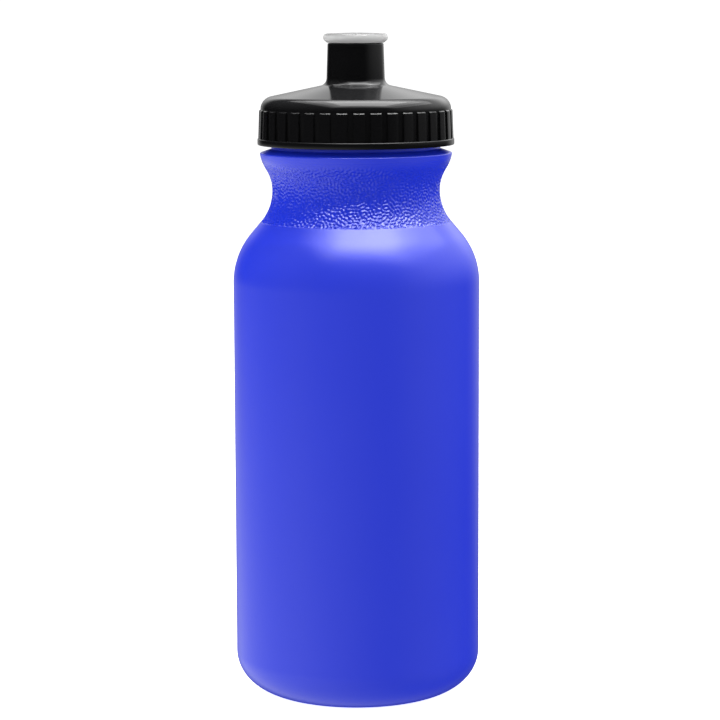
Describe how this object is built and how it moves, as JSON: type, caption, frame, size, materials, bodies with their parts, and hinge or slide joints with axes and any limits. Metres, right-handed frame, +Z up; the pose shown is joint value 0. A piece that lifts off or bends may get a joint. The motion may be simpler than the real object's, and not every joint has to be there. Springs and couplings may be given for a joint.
{
  "type": "sports squeeze bottle",
  "caption": "Squeeze bottle with a rounded shoulder and textured neck, a ribbed screw cap with a chimney, a sealing ring and a push-pull spout.",
  "frame": {"origin": "centre of the foot ring, on the surface the bottle stands on", "axes": "+Z up along the bottle's axis; -Y is the side first seen; +X to its right"},
  "size_m": [0.0727, 0.0726, 0.1962],
  "materials": {
    "bottle_plastic": "satin moulded low-density polyethylene",
    "cap_plastic": "semi-gloss moulded polypropylene",
    "seal_foam": "smooth foamed polyethylene",
    "spout_plastic": "milky translucent low-density polyethylene"
  },
  "bodies": {
    "bottle": {"bottle": "bottle_plastic"},
    "seal": {"seal_ring": "seal_foam"},
    "cap": {"cap": "cap_plastic"},
    "spout": {"spout": "spout_plastic"}
  },
  "joints": [
    {"name": "cap_lift", "type": "slide", "parent": "bottle", "child": "seal", "axis": [0, 0, 1], "range_m": [0, 0.01265]},
    {"name": "cap_turn", "type": "hinge", "parent": "seal", "child": "cap", "pos_m": [0, 0, 0.17], "axis": [0, 0, 1], "range_deg": [0, 1080]},
    {"name": "spout_pull", "type": "slide", "parent": "cap", "child": "spout", "axis": [0, 0, 1], "range_m": [0, 0.007]}
  ],
  "couplings": [
    {"joint": "cap_lift", "follows": "cap_turn", "m_per_rad": 0.00066845}
  ]
}
